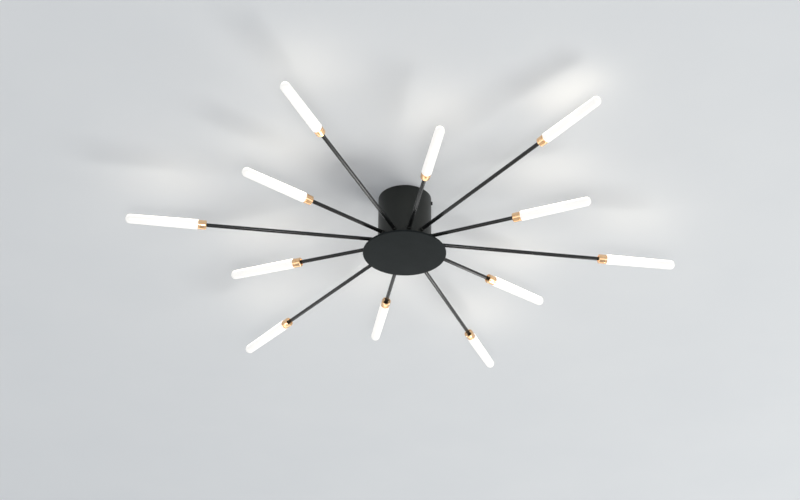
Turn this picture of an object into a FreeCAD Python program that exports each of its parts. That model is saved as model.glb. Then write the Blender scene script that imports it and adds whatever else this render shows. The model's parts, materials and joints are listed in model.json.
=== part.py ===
import FreeCAD
import Part
import math
import os
import re
import Sketcher

# Flush ceiling light: a black cup-shaped canopy closed below by a wide flat disc, with twelve rods that radiate
# just above the disc, long and short in turn. Each rod carries a gold socket ring and an opal tube with a light
# stick inside. Millimetres, +Z up. The ceiling is the plane z = 0 and the lamp's axis is the Z axis.
# The two side screws of the canopy, and the bracket that they bear on, lie on the X axis.

ARM_COUNT = 12
STUD_COUNT = 3
POLE_COUNT = 3
SIDE_SCREW_COUNT = 2
HEXAGON_SIDE_COUNT = 6
FULL_TURN = 360
QUARTER_TURN = 90
HALF_TURN = 180

SIZES = {
    # Arms, measured from the lamp's axis
    "long_reach": 400.0,
    "short_reach": 279.0,
    "arm_above_disc": 17.6,
    "rod_diameter": 5.5,
    "rod_bore": 4.1,
    "rod_inner_end": 28.0,
    # Gold socket ring at the end of each rod
    "ring_length": 13.4,
    "ring_diameter": 13.6,
    "ring_bore": 11.8,
    "ring_back": 3.0,
    "ring_back_chamfer": 0.8,
    "ring_mouth_chamfer": 0.3,
    "ring_groove_from_mouth": 1.6,
    "ring_groove_width": 0.8,
    "ring_groove_depth": 0.4,
    # Opal tube
    "shade_length": 101.6,
    "shade_mouth_diameter": 14.2,
    "shade_tip_diameter": 13.0,
    "shade_wall": 1.2,
    "shade_edge": 0.4,
    "neck_length": 6.6,
    "neck_wall": 1.1,
    "neck_fit": 0.1,
    # Light stick and the plug that holds it
    "plug_thickness": 2.4,
    "plug_fit": 0.05,
    "board_width": 6.5,
    "board_thickness": 1.0,
    "board_grip": 1.4,
    "light_bar_width": 2.4,
    "light_bar_height": 0.6,
    "light_bar_margin": 3.0,
    # Canopy
    "canopy_diameter": 77.4,
    "canopy_height": 90.8,
    "canopy_wall": 1.2,
    "canopy_corner": 0.6,
    "arm_hole_clearance": 0.2,
    # Disc below the canopy, and its studs and nuts
    "disc_diameter": 120.0,
    "disc_thickness": 3.0,
    "disc_edge_radius": 0.8,
    "stud_circle_radius": 24.0,
    "stud_diameter": 4.0,
    "stud_length": 9.0,
    "stud_hole_clearance": 0.2,
    "stud_nut_width": 7.0,
    "stud_nut_thickness": 3.2,
    "thread_clearance": 0.05,
    # Collars and nuts of the arms
    "collar_diameter": 7.0,
    "collar_length": 3.5,
    "collar_chamfer": 0.5,
    "arm_nut_width": 9.0,
    "arm_nut_thickness": 3.5,
    "nut_seat_gap": 0.05,
    # Ceiling bracket
    "bracket_span": 66.0,
    "bracket_width": 16.0,
    "bracket_thickness": 1.5,
    "ear_height": 14.0,
    "bend_radius": 2.4,
    "slot_spacing": 46.0,
    "slot_width": 4.6,
    "slot_length": 10.0,
    "cable_hole_diameter": 10.0,
    # Earth screw on the bracket
    "earth_offset": 11.5,
    "earth_screw_diameter": 4.0,
    "earth_head_diameter": 7.0,
    "earth_head_height": 2.4,
    "earth_washer_diameter": 8.0,
    "earth_washer_thickness": 0.8,
    "earth_tip_gap": 0.2,
    # Side screws of the canopy and their weld nuts
    "side_screw_depth": 9.0,
    "side_screw_diameter": 3.0,
    "side_head_diameter": 5.5,
    "side_head_height": 2.0,
    "side_head_round": 0.7,
    "side_hole_clearance": 0.2,
    "screw_tip_gap": 0.1,
    "weld_nut_width": 5.5,
    "weld_nut_gap": 0.4,
    "drive_slot_width": 0.8,
    "drive_slot_depth": 0.9,
    # Driver, its foam pad and the terminal block on it. The driver's height is its share of the room from its top
    # down to the arms' line, and the pad's height is its share of the driver's
    "driver_width": 30.0,
    "driver_depth": 20.0,
    "driver_top_depth": 22.0,
    "driver_height_share": 0.7,
    "driver_edge_radius": 1.5,
    "pad_thickness": 4.4,
    "pad_width": 20.0,
    "pad_height_share": 0.67,
    "block_width": 20.0,
    "block_depth": 13.0,
    "block_height": 9.0,
    "block_pole_spacing": 6.0,
    "block_well_diameter": 3.4,
    "block_well_depth": 2.5,
    # Leads and the splice barrel. Shares are of the same room, and those of the mouth and the hole are of the
    # barrel's length
    "arm_lead_diameter": 1.8,
    "arm_lead_circle_radius": 4.6,
    "arm_lead_bend": 8.0,
    "supply_lead_diameter": 2.4,
    "supply_lead_bend": 4.0,
    "supply_lead_stub": 1.0,
    "supply_lead_drop": 9.0,
    "output_lead_diameter": 2.8,
    "output_lead_top_share": 0.27,
    "output_lead_bend_share": 0.155,
    "splice_diameter": 15.2,
    "splice_top_share": 0.47,
    "splice_length_share": 0.31,
    "splice_mouth_diameter": 12.4,
    "splice_mouth_share": 0.5,
    "splice_hole_share": 0.31,
    "lead_end_gap": 0.6,
    "lead_hole_clearance": 0.1,
    # How far a cutter runs past what it cuts
    "overrun": 1.0,
}

# Degrees that each arm stands off its even place around the axis, and above the level, as the light was assembled
ARM_LEANS = (-1.1, 2.0, 0.5, 0.7, -0.3, -1.0, -0.1, -1.4, -1.7, 0.9, 0.8, 0.2)
ARM_TILTS = (-0.5, 1.8, 0.4, -0.9, -1.0, 1.2, -0.3, 1.2, 0.3, 0.5, 4.0, 1.4)

document = FreeCAD.newDocument("CeilingLight")
sheet = document.addObject("Spreadsheet::Sheet", "Sizes")
nodes = {}


def fill_sheet():
    """Writes every driving size to the sheet, one row each, with its name as the alias."""
    rows = dict(SIZES)
    for number in range(1, ARM_COUNT + 1):
        rows["lean_of_arm_%02d" % number] = ARM_LEANS[number - 1]
        rows["tilt_of_arm_%02d" % number] = ARM_TILTS[number - 1]
    for row, (name, number) in enumerate(rows.items(), start=1):
        sheet.set("A%d" % row, name)
        sheet.set("B%d" % row, str(number))
        sheet.setAlias("B%d" % row, name)
    document.recompute()
    return set(rows)


NAMES = fill_sheet()


def bound(formula):
    """The formula with each size's name turned into a reference to the sheet."""
    return re.sub(r"[a-z]\w*", lambda word: "Sizes." + word[0] if word[0] in NAMES else word[0], formula)


def amount(formula):
    """The formula's value in millimetres or degrees."""
    return float(sheet.evalExpression(bound(formula)))


def vector(across="0", deep="0", up="0"):
    return FreeCAD.Vector(amount(across), amount(deep), amount(up))


def bind(item, **formulas):
    """Binds properties of an object to formulas of the sheet's sizes."""
    for name, formula in formulas.items():
        item.setExpression(name, bound(formula))
    return item


def locate(item, across="0", deep="0", up="0", rotation=FreeCAD.Rotation()):
    """Turns an object and binds its place to formulas."""
    item.Placement = FreeCAD.Placement(vector(across, deep, up), rotation)
    for axis, formula in (("x", across), ("y", deep), ("z", up)):
        if formula != "0":
            item.setExpression("Placement.Base." + axis, bound(formula))
    return item


ALONG_X = FreeCAD.Rotation(FreeCAD.Vector(0, 1, 0), QUARTER_TURN)
ALONG_Y = FreeCAD.Rotation(FreeCAD.Vector(1, 0, 0), -QUARTER_TURN)


# Sketches and bodies


def pin(sketch, edge, spot, across, up):
    """Fixes one end of a sketch's edge at two formulas. None leaves that direction to the arc."""
    for kind, formula, axis in (("DistanceX", across, -2), ("DistanceY", up, -1)):
        if formula == "0":
            sketch.addConstraint(Sketcher.Constraint("PointOnObject", edge, spot, axis))
        elif formula is not None:
            index = sketch.addConstraint(Sketcher.Constraint(kind, -1, 1, edge, spot, amount(formula)))
            sketch.setExpression("Constraints[%d]" % index, bound(formula))


def new_sketch(body, name, plane):
    """An empty sketch on one of the body's own origin planes."""
    sketch = body.newObject("Sketcher::SketchObject", name)
    sketch.AttachmentSupport = [(next(item for item in body.Origin.OriginFeatures if item.Role == plane), "")]
    sketch.MapMode = "FlatFace"
    return sketch


def first_places(corners):
    """Where each corner starts before the sketch is solved. A corner on an arc's free end is found from the arc."""
    places = []
    for corner, before, after in zip(corners, corners[-1:] + corners[:-1], corners[1:] + corners[:1]):
        across = corner[0]
        if across is None and len(before) > 2:
            across = "%s + %s" % (before[2], before[1])
        elif across is None:
            across = "%s + %s" % (corner[2], after[1])
        places.append(vector(across, corner[1]))
    return places


def outline(body, name, plane, corners):
    """A closed outline. A corner is its two formulas, and a third is the centre of the arc that starts there.

    An arc is a quarter circle about a centre on the sketch's first axis, and its end on that axis is (None, "0").
    """
    sketch = new_sketch(body, name, plane)
    places = first_places(corners)
    spots = []
    for corner, here, there in zip(corners, places, places[1:] + places[:1]):
        if len(corner) == 2:
            sketch.addGeometry(Part.LineSegment(here, there))
            spots.append((1, 2))
            continue
        circle = Part.Circle(vector(corner[2]), FreeCAD.Vector(0, 0, 1), max(here.y, there.y))
        edge = sketch.addGeometry(Part.ArcOfCircle(circle, 0, math.pi / 2))
        pin(sketch, edge, 3, corner[2], "0")
        spots.append((1, 2) if corner[1] == "0" else (2, 1))
    for edge, (first, last) in enumerate(spots):
        following = (edge + 1) % len(spots)
        sketch.addConstraint(Sketcher.Constraint("Coincident", edge, last, following, spots[following][0]))
        pin(sketch, edge, first, corners[edge][0], corners[edge][1])
    return sketch


def turned(name, corners, plane="XY_Plane", axis="H_Axis"):
    """A body turned from an outline about one of its sketch's axes."""
    body = document.addObject("PartDesign::Body", name)
    turn = body.newObject("PartDesign::Revolution", name + "_turn")
    turn.Profile = outline(body, name + "_outline", plane, corners)
    turn.ReferenceAxis = (turn.Profile[0], [axis])
    turn.Angle = FULL_TURN
    body.Tip = turn
    return body


def hole_sketch(body, name, plane, across, up, radius):
    """One circle at two formulas."""
    sketch = new_sketch(body, name, plane)
    circle = Part.Circle(vector(across, up), FreeCAD.Vector(0, 0, 1), amount(radius))
    edge = sketch.addGeometry(circle)
    pin(sketch, edge, 3, across, up)
    index = sketch.addConstraint(Sketcher.Constraint("Radius", edge, amount(radius)))
    sketch.setExpression("Constraints[%d]" % index, bound(radius))
    return sketch


def pocket_through(body, name, sketch, backwards=False, both_ways=False):
    """Cuts a sketch right through the body."""
    pocket = body.newObject("PartDesign::Pocket", name)
    pocket.Profile = sketch
    pocket.Type = "ThroughAll"
    pocket.Reversed = backwards
    pocket.Midplane = both_ways
    body.Tip = pocket
    return pocket


def around(body, name, feature, count):
    """Repeats a feature evenly about the body's vertical axis."""
    pattern = body.newObject("PartDesign::PolarPattern", name)
    pattern.Originals = [feature]
    pattern.Axis = (feature.Profile[0], ["N_Axis"])
    pattern.Angle = FULL_TURN
    pattern.Occurrences = count
    body.Tip = pattern
    return pattern


def rounded(body, name, edges, radius):
    """Rounds the edges of the body's last feature that are listed by their places."""
    base = body.Tip
    rounding = body.newObject("PartDesign::Fillet", name)
    rounding.Base = (base, ["Edge%d" % place for place in edges])
    bind(rounding, Radius=radius)
    body.Tip = rounding
    document.recompute()
    return rounding


# Primitives and booleans


def cylinder(name, radius, height):
    return bind(document.addObject("Part::Cylinder", name), Radius=radius, Height=height)


def box(name, length, width, height):
    return bind(document.addObject("Part::Box", name), Length=length, Width=width, Height=height)


def hexagon(name, width, height):
    """A hexagonal prism, as wide across its flats as the width."""
    prism = document.addObject("Part::Prism", name)
    prism.Polygon = HEXAGON_SIDE_COUNT
    return bind(prism, Circumradius="(%s) / sqrt(3)" % width, Height=height)


def cut(name, base, tool):
    item = document.addObject("Part::Cut", name)
    item.Base = base
    item.Tool = tool
    return item


def fused(name, pieces):
    item = document.addObject("Part::MultiFuse", name)
    item.Shapes = pieces
    return item


def common(name, first, second):
    item = document.addObject("Part::MultiCommon", name)
    item.Shapes = [first, second]
    return item


def group(name, pieces):
    """Separate identical pieces that share one node."""
    item = document.addObject("Part::Compound", name)
    item.Links = pieces
    return item


def node(name, item):
    """Gives a finished sub-part its label, under which it is written."""
    item.Label = name
    nodes[name] = item
    return item


# Places shared by several pieces

CANOPY_RADIUS = "canopy_diameter / 2"
CANOPY_INSIDE = "(canopy_diameter / 2 - canopy_wall)"
ROD_HOLE = "rod_diameter / 2 + thread_clearance"
ARM_DEPTH = "(canopy_height - arm_above_disc)"
ROOM = "(%s - driver_top_depth)" % ARM_DEPTH
DRIVER_HEIGHT = "(driver_height_share * %s)" % ROOM
SPLICE_TOP = "(driver_top_depth + splice_top_share * %s)" % ROOM
SPLICE_LENGTH = "(splice_length_share * %s)" % ROOM
DRIVER_FRONT = "(%s - pad_thickness - driver_depth)" % CANOPY_INSIDE
BLOCK_FRONT = "(%s + (driver_depth - block_depth) / 2)" % DRIVER_FRONT


def is_long(number):
    return number % 2 == 1


def reach(number):
    """From the lamp's axis to the tip of an arm's tube."""
    return "long_reach" if is_long(number) else "short_reach"


def mouth(number):
    """From the lamp's axis to the mouth of an arm's ring, where the tube starts to show."""
    return "(%s - shade_length)" % reach(number)


def ring_start(number):
    return "(%s - shade_length - ring_length)" % reach(number)


def arm_frame(number):
    """The arm's own frame: +X runs out along the rod from the lamp's axis."""
    turn = (number - 1 / 2) * FULL_TURN / ARM_COUNT + amount("lean_of_arm_%02d" % number)
    rotation = FreeCAD.Rotation(turn, -amount("tilt_of_arm_%02d" % number), 0)
    return FreeCAD.Placement(vector(up="-" + ARM_DEPTH), rotation)


def on_arm(item, number, out="0", side="0", up="0", rotation=FreeCAD.Rotation()):
    """Places an object in the arm's frame."""
    item.Placement = arm_frame(number).multiply(FreeCAD.Placement(vector(out, side, up), rotation))
    return item


def arm_name(number, piece):
    return "arm_%02d_%s" % (number, piece)


# The pieces of one arm


def make_rod(number):
    """Black steel tube from inside the canopy into the back of the ring."""
    outer_end = "%s + ring_back" % ring_start(number)
    corners = [("rod_inner_end", "rod_bore / 2"), (outer_end, "rod_bore / 2"),
               (outer_end, "rod_diameter / 2"), ("rod_inner_end", "rod_diameter / 2")]
    return on_arm(turned(arm_name(number, "rod"), corners), number)


def make_ring(number):
    """Gold ring: a turned cup with a bored back, a chamfered edge and a groove near its mouth."""
    start = ring_start(number)
    end = mouth(number)
    groove_end = "%s - ring_groove_from_mouth" % end
    groove_start = groove_end + " - ring_groove_width"
    groove_floor = "ring_diameter / 2 - ring_groove_depth"
    corners = [(start, ROD_HOLE), (start + " + ring_back", ROD_HOLE),
               (start + " + ring_back", "ring_bore / 2"), (end, "ring_bore / 2"),
               (end, "ring_diameter / 2 - ring_mouth_chamfer"), (end + " - ring_mouth_chamfer", "ring_diameter / 2"),
               (groove_end, "ring_diameter / 2"), (groove_end, groove_floor),
               (groove_start, groove_floor), (groove_start, "ring_diameter / 2"),
               (start + " + ring_back_chamfer", "ring_diameter / 2"),
               (start, "ring_diameter / 2 - ring_back_chamfer")]
    return on_arm(turned(arm_name(number, "ring"), corners), number)


def make_shade(number):
    """Opal tube: a neck that pushes into the ring, a slightly tapered wall and a round closed tip."""
    start = mouth(number)
    neck_end = start + " - neck_length"
    neck = "ring_bore / 2 - neck_fit"
    tip_centre = "%s - shade_tip_diameter / 2" % reach(number)
    corners = [(neck_end, neck + " - neck_wall"), (start + " + shade_wall", neck + " - neck_wall"),
               (start + " + shade_wall", "shade_mouth_diameter / 2 - shade_wall"),
               (tip_centre, "shade_tip_diameter / 2 - shade_wall", tip_centre), (None, "0"),
               (None, "0", tip_centre), (tip_centre, "shade_tip_diameter / 2"),
               (start + " + shade_edge", "shade_mouth_diameter / 2"),
               (start, "shade_mouth_diameter / 2 - shade_edge"), (start, neck), (neck_end, neck)]
    return on_arm(turned(arm_name(number, "shade"), corners), number)


def make_stick(number):
    """Light stick: a narrow board with a bar of LEDs on both faces."""
    start = "%s + ring_back + plug_thickness - board_grip" % ring_start(number)
    length = "%s - shade_tip_diameter / 2 - (%s)" % (reach(number), start)
    bar_start = "%s + light_bar_margin" % mouth(number)
    bar_length = "%s - shade_tip_diameter / 2 - light_bar_margin - (%s)" % (reach(number), bar_start)
    bar_thickness = "board_thickness + 2 * light_bar_height"
    board = box(arm_name(number, "board"), length, "board_width", "board_thickness")
    on_arm(board, number, start, "-board_width / 2", "-board_thickness / 2")
    bars = box(arm_name(number, "light_bars"), bar_length, "light_bar_width", bar_thickness)
    on_arm(bars, number, bar_start, "-light_bar_width / 2", "-(%s) / 2" % bar_thickness)
    return fused(arm_name(number, "stick"), [board, bars])


def make_plug(number):
    """Plug at the bottom of the ring's bore, with a slot for the light stick."""
    start = "%s + ring_back" % ring_start(number)
    disc = cylinder(arm_name(number, "plug_disc"), "ring_bore / 2 - plug_fit", "plug_thickness")
    on_arm(disc, number, start, rotation=ALONG_X)
    slot = box(arm_name(number, "plug_slot"), "board_grip + overrun", "board_width + 2 * plug_fit",
               "board_thickness + 2 * plug_fit")
    on_arm(slot, number, start + " + plug_thickness - board_grip", "-board_width / 2 - plug_fit",
           "-board_thickness / 2 - plug_fit")
    return cut(arm_name(number, "plug"), disc, slot)


def make_collar(number, canopy_drum):
    """Round collar on the rod, shaped at its foot to sit on the canopy's wall."""
    foot = CANOPY_RADIUS + " - canopy_wall"
    end = CANOPY_RADIUS + " + collar_length"
    corners = [(foot, ROD_HOLE), (end, ROD_HOLE), (end, "collar_diameter / 2 - collar_chamfer"),
               (end + " - collar_chamfer", "collar_diameter / 2"), (foot, "collar_diameter / 2")]
    blank = on_arm(turned(arm_name(number, "collar_blank"), corners), number)
    return cut(arm_name(number, "collar"), blank, canopy_drum)


def make_arm_nut(number):
    """Hexagon nut that clamps the rod from inside the canopy. Its corners just clear the curved wall."""
    seat = "sqrt(%s^2 - arm_nut_width^2 / 3) - nut_seat_gap" % CANOPY_INSIDE
    blank = hexagon(arm_name(number, "nut_blank"), "arm_nut_width", "arm_nut_thickness")
    on_arm(blank, number, seat + " - arm_nut_thickness", rotation=ALONG_X)
    bore = cylinder(arm_name(number, "nut_bore"), ROD_HOLE, "arm_nut_thickness + 2 * overrun")
    on_arm(bore, number, seat + " - arm_nut_thickness - overrun", rotation=ALONG_X)
    return cut(arm_name(number, "nut"), blank, bore)


def make_arm_lead(number):
    """Twin lead: from the plug through the rod to the middle, and up into the splice barrel."""
    radius = "arm_lead_diameter / 2"
    bend_start = "(arm_lead_circle_radius + arm_lead_bend)"
    length = "%s + ring_back - %s" % (ring_start(number), bend_start)
    run = cylinder(arm_name(number, "lead_run"), radius, length)
    on_arm(run, number, bend_start, rotation=ALONG_X)
    bend = document.addObject("Part::Torus", arm_name(number, "lead_bend"))
    bind(bend, Radius1="arm_lead_bend", Radius2=radius)
    bend.Angle3 = QUARTER_TURN
    upright = FreeCAD.Rotation(FreeCAD.Vector(1, 0, 0), QUARTER_TURN)
    on_arm(bend, number, bend_start, up="arm_lead_bend",
           rotation=FreeCAD.Rotation(FreeCAD.Vector(0, 1, 0), -HALF_TURN).multiply(upright))
    mouth_floor = "%s + (1 - splice_mouth_share) * %s" % (SPLICE_TOP, SPLICE_LENGTH)
    rise = "%s - arm_lead_bend - (%s) - lead_end_gap" % (ARM_DEPTH, mouth_floor)
    riser = on_arm(cylinder(arm_name(number, "lead_riser"), radius, rise), number, "arm_lead_circle_radius",
                   up="arm_lead_bend")
    return fused(arm_name(number, "lead"), [run, bend, riser])


def arm_hole(number):
    """Cutter for the rod's hole in the canopy's wall."""
    hole = cylinder(arm_name(number, "hole"), "rod_diameter / 2 + arm_hole_clearance",
                    "canopy_wall + 4 * overrun")
    return on_arm(hole, number, CANOPY_INSIDE + " - 2 * overrun", rotation=ALONG_X)


# The canopy and the disc


def make_canopy():
    """Drawn cup, open at the ceiling, with holes for the arms, the side screws and the disc's studs."""
    corners = [("0", "0"), (CANOPY_RADIUS + " - canopy_corner", "0"), (CANOPY_RADIUS, "canopy_corner"),
               (CANOPY_RADIUS, "canopy_height"), (CANOPY_INSIDE, "canopy_height"), (CANOPY_INSIDE, "canopy_wall"),
               ("0", "canopy_wall")]
    cup = turned("canopy_cup", corners, "XZ_Plane", "V_Axis")
    document.recompute()
    side = hole_sketch(cup, "side_hole_outline", "YZ_Plane", "0", "canopy_height - side_screw_depth",
                       "side_screw_diameter / 2 + side_hole_clearance")
    pocket_through(cup, "side_holes", side, both_ways=True)
    document.recompute()
    stud = hole_sketch(cup, "stud_hole_outline", "XY_Plane", "stud_circle_radius", "0",
                       "stud_diameter / 2 + stud_hole_clearance")
    around(cup, "stud_holes", pocket_through(cup, "stud_hole", stud, backwards=True), STUD_COUNT)
    locate(cup, up="-canopy_height")
    holes = fused("arm_holes", [arm_hole(number) for number in range(1, ARM_COUNT + 1)])
    return cut("canopy_drilled", cup, holes)


def make_disc():
    """Flat disc with a rounded edge, below the canopy."""
    corners = [("0", "0"), ("disc_diameter / 2", "0"), ("disc_diameter / 2", "disc_thickness"),
               ("0", "disc_thickness")]
    disc = turned("disc_plate", corners, "XZ_Plane", "V_Axis")
    document.recompute()
    rim = [place for place, edge in enumerate(disc.Tip.Shape.Edges, start=1) if isinstance(edge.Curve, Part.Circle)]
    rounded(disc, "disc_edge", rim, "disc_edge_radius")
    return locate(disc, up="-canopy_height - disc_thickness")


def stud_place(number):
    """Where a stud stands, in plan."""
    turn = math.radians(FULL_TURN / STUD_COUNT) * (number - 1)
    radius = amount("stud_circle_radius")
    return FreeCAD.Vector(radius * math.cos(turn), radius * math.sin(turn), 0)


def make_stud(number):
    stud = cylinder("disc_stud_%d" % number, "stud_diameter / 2", "stud_length")
    stud.Placement = FreeCAD.Placement(stud_place(number) + vector(up="-canopy_height"), FreeCAD.Rotation())
    return stud


def make_stud_nut(number):
    """Nut on a stud, on the canopy's floor."""
    floor = vector(up="canopy_wall - canopy_height")
    blank = hexagon("disc_nut_blank_%d" % number, "stud_nut_width", "stud_nut_thickness")
    blank.Placement = FreeCAD.Placement(stud_place(number) + floor, FreeCAD.Rotation())
    bore = cylinder("disc_nut_bore_%d" % number, "stud_diameter / 2 + thread_clearance",
                    "stud_nut_thickness + 2 * overrun")
    bore.Placement = FreeCAD.Placement(stud_place(number) + floor - vector(up="overrun"), FreeCAD.Rotation())
    return cut("disc_nut_%d" % number, blank, bore)


# The bracket and the side screws


def make_slot(side):
    """Cutter for one slotted hole of the bracket. Side is -1 or 1."""
    cutters = []
    straight = "(slot_length - slot_width)"
    middle = "%d * slot_spacing / 2" % side
    for end in (-1, 1):
        round_end = cylinder("slot_end", "slot_width / 2", "bracket_thickness + 2 * overrun")
        cutters.append(locate(round_end, "%s + %d * %s / 2" % (middle, end, straight),
                              up="-bracket_thickness - overrun"))
    block = box("slot_middle", straight, "slot_width", "bracket_thickness + 2 * overrun")
    cutters.append(locate(block, "%s - %s / 2" % (middle, straight), "-slot_width / 2",
                          "-bracket_thickness - overrun"))
    return fused("slot", cutters)


def make_bracket():
    """Bent steel strip on the ceiling, with an ear down at each end, two slots, a cable hole and an earth hole."""
    body = document.addObject("PartDesign::Body", "bracket_strip")
    inner = "bracket_span - bracket_thickness"
    under = "ear_height - bracket_thickness"
    corners = [("0", "0"), ("bracket_thickness", "0"), ("bracket_thickness", under), (inner, under), (inner, "0"),
               ("bracket_span", "0"), ("bracket_span", "ear_height"), ("0", "ear_height")]
    pad = body.newObject("PartDesign::Pad", "strip")
    pad.Profile = outline(body, "strip_outline", "XZ_Plane", corners)
    bind(pad, Length="bracket_width")
    pad.Midplane = True
    body.Tip = pad
    document.recompute()
    rounded(body, "outer_bends", bend_edges(body, 0), "bend_radius")
    rounded(body, "inner_bends", bend_edges(body, amount("bracket_thickness")), "bend_radius - bracket_thickness")
    locate(body, "-bracket_span / 2", up="-ear_height")
    cable = locate(cylinder("cable_hole", "cable_hole_diameter / 2", "bracket_thickness + 2 * overrun"),
                   up="-bracket_thickness - overrun")
    earth = locate(cylinder("earth_hole", "earth_screw_diameter / 2 + thread_clearance",
                            "bracket_thickness + 2 * overrun"),
                   "-earth_offset", up="-bracket_thickness - overrun")
    return cut("bracket_drilled", body, fused("bracket_holes", [make_slot(-1), make_slot(1), cable, earth]))


def bend_edges(body, inset):
    """The two edges across the strip where it turns down, on the face that lies inset from the outside."""
    span = amount("bracket_span")
    near = amount("bracket_thickness") / 4
    found = []
    for place, edge in enumerate(body.Tip.Shape.Edges, start=1):
        middle = edge.CenterOfMass
        off_side = min(abs(middle.x - inset), abs(middle.x - span + inset))
        off_top = abs(middle.z - amount("ear_height") + inset)
        if max(off_side, off_top, abs(middle.y)) < near:
            found.append(place)
    return found


def make_earth_screw():
    """Pan head screw in the bracket, head down."""
    seat = "bracket_thickness + earth_washer_thickness"
    shank = locate(cylinder("earth_shank", "earth_screw_diameter / 2", seat + " - earth_tip_gap"),
                   "-earth_offset", up="-(%s)" % seat)
    head = locate(cylinder("earth_head", "earth_head_diameter / 2", "earth_head_height"),
                  "-earth_offset", up="-(%s) - earth_head_height" % seat)
    slot = box("earth_drive_slot", "earth_head_diameter + 2 * overrun", "drive_slot_width",
               "drive_slot_depth + overrun")
    locate(slot, "-earth_offset - earth_head_diameter / 2 - overrun", "-drive_slot_width / 2",
           "-(%s) - earth_head_height - overrun" % seat)
    return cut("earth_screw_slotted", fused("earth_screw_blank", [shank, head]), slot)


def make_earth_washer():
    ring = locate(cylinder("washer_blank", "earth_washer_diameter / 2", "earth_washer_thickness"),
                  "-earth_offset", up="-bracket_thickness - earth_washer_thickness")
    hole = locate(cylinder("washer_hole", "earth_screw_diameter / 2 + thread_clearance",
                           "earth_washer_thickness + 2 * overrun"),
                  "-earth_offset", up="-bracket_thickness - earth_washer_thickness - overrun")
    return cut("washer_bored", ring, hole)


def side_frame(number):
    """Frame of a side screw: +X points out through the canopy's wall."""
    return FreeCAD.Placement(vector(up="-side_screw_depth"),
                             FreeCAD.Rotation(FreeCAD.Vector(0, 0, 1), HALF_TURN * (number - 1)))


def make_side_screw(number):
    """Screw through the canopy's wall and its weld nut. Its tip bears on the bracket's ear."""
    tip = "bracket_span / 2 + screw_tip_gap"
    head_end = CANOPY_RADIUS + " + side_head_height"
    corners = [(tip, "0"), (head_end, "0"), (head_end, "side_head_diameter / 2 - side_head_round"),
               (head_end + " - side_head_round", "side_head_diameter / 2"),
               (CANOPY_RADIUS, "side_head_diameter / 2"), (CANOPY_RADIUS, "side_screw_diameter / 2"),
               (tip, "side_screw_diameter / 2")]
    blank = turned("side_screw_blank_%d" % number, corners)
    blank.Placement = side_frame(number)
    slot = box("side_drive_slot_%d" % number, "drive_slot_depth + overrun", "side_head_diameter + 2 * overrun",
               "drive_slot_width")
    corner = vector(head_end + " - drive_slot_depth", "-side_head_diameter / 2 - overrun", "-drive_slot_width / 2")
    slot.Placement = side_frame(number).multiply(FreeCAD.Placement(corner, FreeCAD.Rotation()))
    return cut("side_screw_%d" % number, blank, slot)


def make_weld_nut(number, canopy_bore):
    """Hexagon nut welded inside the canopy's wall, with its outer face shaped to the wall."""
    start = "bracket_span / 2 + weld_nut_gap"
    blank = hexagon("weld_nut_blank_%d" % number, "weld_nut_width", CANOPY_RADIUS + " - (%s)" % start)
    place = FreeCAD.Placement(vector(start), ALONG_X)
    blank.Placement = side_frame(number).multiply(place)
    bore = cylinder("weld_nut_bore_%d" % number, "side_screw_diameter / 2 + thread_clearance",
                    CANOPY_RADIUS + " - (%s) + 2 * overrun" % start)
    place = FreeCAD.Placement(vector(start + " - overrun"), ALONG_X)
    bore.Placement = side_frame(number).multiply(place)
    shaped = common("weld_nut_shaped_%d" % number, blank, canopy_bore)
    return cut("weld_nut_%d" % number, shaped, bore)


# The electrical pieces inside the canopy


def make_driver():
    """Power supply: a potted box with rounded upright edges."""
    case = locate(box("driver_case", "driver_width", "driver_depth", DRIVER_HEIGHT), "-driver_width / 2",
                  DRIVER_FRONT, "-driver_top_depth - " + DRIVER_HEIGHT)
    document.recompute()
    rounding = document.addObject("Part::Fillet", "driver_rounded")
    rounding.Base = case
    radius = amount("driver_edge_radius")
    rounding.Edges = [(place, radius, radius) for place, edge in enumerate(case.Shape.Edges, start=1)
                      if abs(edge.tangentAt(edge.FirstParameter).z) > 1 / 2]
    return rounding


def make_pad(canopy_bore):
    """Foam pad, flat on the driver's back and curved on the canopy's wall."""
    block = box("pad_block", "pad_width", "pad_thickness", "pad_height_share * " + DRIVER_HEIGHT)
    locate(block, "-pad_width / 2", "%s - pad_thickness" % CANOPY_INSIDE,
           "-driver_top_depth - (1 + pad_height_share) * %s / 2" % DRIVER_HEIGHT)
    return common("pad_shaped", block, canopy_bore)


def make_block():
    """Terminal block on top of the driver: screw wells above and wire holes in front."""
    body = locate(box("block_body", "block_width", "block_depth", "block_height"), "-block_width / 2", BLOCK_FRONT,
                  "-driver_top_depth")
    wells = []
    for pole in range(POLE_COUNT):
        across = "%d * block_pole_spacing" % (pole - (POLE_COUNT - 1) // 2)
        well = cylinder("well_%d" % pole, "block_well_diameter / 2", "block_well_depth + overrun")
        wells.append(locate(well, across, "%s + block_depth / 2" % BLOCK_FRONT,
                            "-driver_top_depth + block_height - block_well_depth"))
        wire_hole = cylinder("wire_hole_%d" % pole, "supply_lead_diameter / 2 + lead_hole_clearance",
                             "block_well_depth + overrun")
        wells.append(locate(wire_hole, across, "%s + block_depth - block_well_depth" % BLOCK_FRONT,
                            "-driver_top_depth + block_height / 2", ALONG_Y))
    return cut("block_drilled", body, fused("block_wells", wells))


def lead_bend(name, bend_radius, radius, quarter):
    """Quarter of a torus in the YZ plane. Quarter 0 joins +Y to +Z, and each next one is a quarter turn on."""
    bend = bind(document.addObject("Part::Torus", name), Radius1=bend_radius, Radius2=radius)
    bend.Angle3 = QUARTER_TURN
    return bend, FreeCAD.Rotation(FreeCAD.Vector(1, 0, 0), QUARTER_TURN * quarter).multiply(
        FreeCAD.Rotation(FreeCAD.Vector(1, 1, 1), FULL_TURN / 3))


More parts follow.
